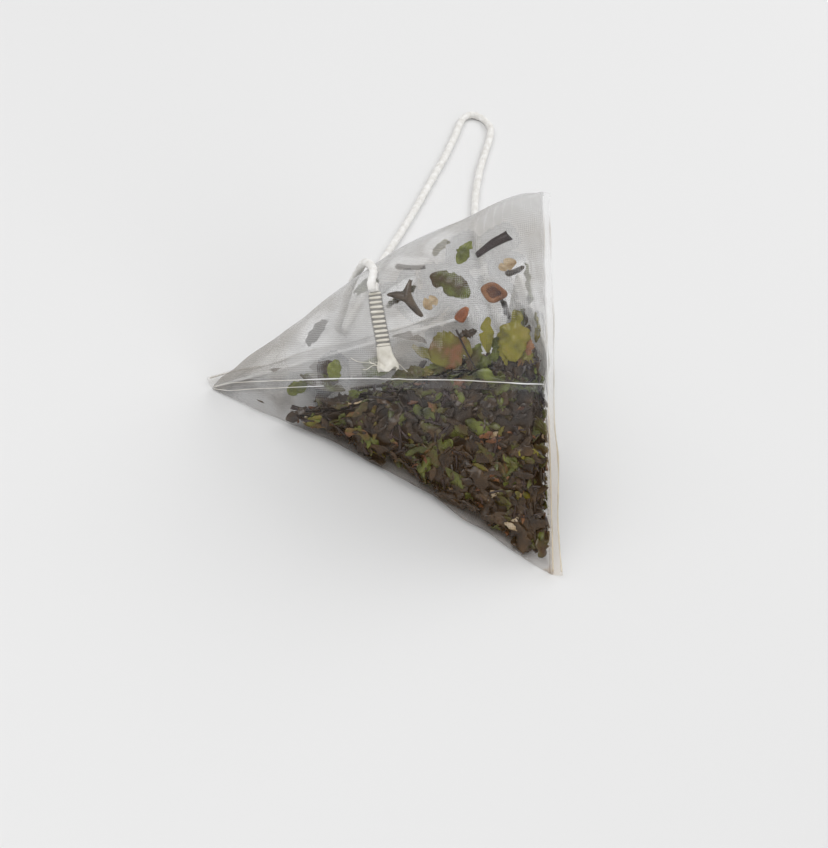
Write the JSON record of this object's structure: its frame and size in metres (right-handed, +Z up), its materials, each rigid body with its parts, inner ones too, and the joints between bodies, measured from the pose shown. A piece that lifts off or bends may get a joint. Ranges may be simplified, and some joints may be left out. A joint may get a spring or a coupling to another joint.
{
  "type": "pyramid tea bag",
  "caption": "Pyramid tea bag of see-through woven mesh with wet leaf tea inside, a ribbed weld and cotton string on its face, and a plain paper tag.",
  "frame": {"origin": "on the ground, below the middle of the bag's outline without its string, weld and tag", "axes": "+Z up from the face that the bag lies on; the face with the long seam and the weld looks towards -Y"},
  "size_m": [0.0576, 0.1113, 0.0466],
  "materials": {
    "mesh": "fine see-through woven mesh, wet and glossy at the seals",
    "cotton": "twisted white cotton, matte",
    "paper": "plain uncoated white paper",
    "tea_brown": "wet dark leaf, satin",
    "leaf_olive": "wet olive leaf, satin",
    "leaf_moss": "wet moss-green leaf, satin",
    "leaf_yellow": "wet yellow-green leaf, satin",
    "stalk_dark": "wet dark stalk, satin",
    "twig_grey": "wet grey-brown twig, satin",
    "petal": "pale dried petal, matte",
    "fruit_brown": "dried fruit rind, satin",
    "fruit_orange": "dried orange fruit, satin"
  },
  "bodies": {
    "root": {"mesh_bag": "mesh", "tea_bed": "tea_brown", "string_weld": "cotton", "string": "cotton", "tag": "paper", "leaf_round": "leaf_yellow", "leaf_broad": "leaf_yellow", "leaf_olive": "leaf_olive", "leaf_sprig": "leaf_moss", "leaf_blade": "leaf_moss", "stick": "stalk_dark", "petal": "petal", "fruit_ring": "fruit_brown", "fruit_chunk": "fruit_orange", "forked_twig": "twig_grey", "crumb_by_twig": "petal", "crumb_by_seam_1": "leaf_moss", "crumb_by_seam_2": "leaf_moss", "leaf_by_seam_1": "leaf_moss", "leaf_by_seam_2": "leaf_olive", "leaf_far_1": "leaf_olive", "leaf_far_2": "leaf_moss", "leaf_far_3": "tea_brown", "leaf_far_4": "leaf_yellow", "stem_far": "tea_brown", "leaf_back_1": "leaf_moss", "leaf_back_2": "leaf_olive", "leaf_back_3": "leaf_yellow", "leaf_back_4": "tea_brown", "stem_back": "stalk_dark", "leaf_bed_1": "leaf_olive", "leaf_bed_2": "leaf_moss", "leaf_bed_3": "leaf_yellow", "leaf_bed_4": "tea_brown", "leaf_bed_5": "leaf_olive", "leaf_bed_6": "leaf_moss", "leaf_bed_7": "leaf_yellow", "leaf_bed_8": "leaf_moss", "stem_bed_1": "stalk_dark", "stem_bed_2": "tea_brown"}
  },
  "joints": []
}
